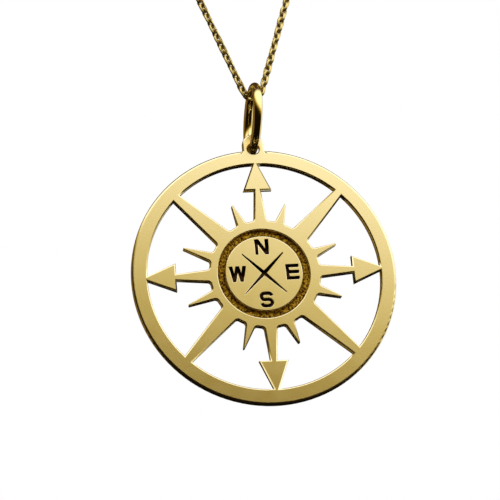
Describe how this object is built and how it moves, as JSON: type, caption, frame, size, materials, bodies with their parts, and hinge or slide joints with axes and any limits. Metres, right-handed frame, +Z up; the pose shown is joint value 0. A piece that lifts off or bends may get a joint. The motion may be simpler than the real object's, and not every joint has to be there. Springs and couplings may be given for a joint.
{
  "type": "compass pendant necklace",
  "caption": "Pierced round compass pendant with engraved letters, hung from a thick jump ring on a closed loop of fine cable chain.",
  "frame": {"origin": "the point that the closed loop hangs from: the middle of the clasp's underside, at the back of the neck", "axes": "+Z up, along the hanging loop; the disc's engraved front faces -Y; +X towards the letter E"},
  "size_m": [0.095, 0.0072, 0.2219],
  "materials": {
    "satin_gold": "satin-polished yellow gold-coloured metal, engraving darkened",
    "polished_gold": "polished yellow gold-coloured metal",
    "chain_gold": "polished yellow gold-coloured wire links"
  },
  "bodies": {
    "chain_loop": {"chain": "chain_gold", "clasp": "polished_gold"},
    "bail": {"jump_ring": "polished_gold"},
    "disc": {"compass_disc": "satin_gold"}
  },
  "joints": [
    {"name": "bail_swing", "type": "hinge", "parent": "chain_loop", "child": "bail", "pos_m": [0, 0, -0.18862], "axis": [1, 0, 0], "range_deg": [-90, 90]},
    {"name": "disc_sway", "type": "hinge", "parent": "bail", "child": "disc", "pos_m": [-0.00053, 0, -0.19401], "axis": [0, 1, 0], "range_deg": [-80, 80]}
  ]
}
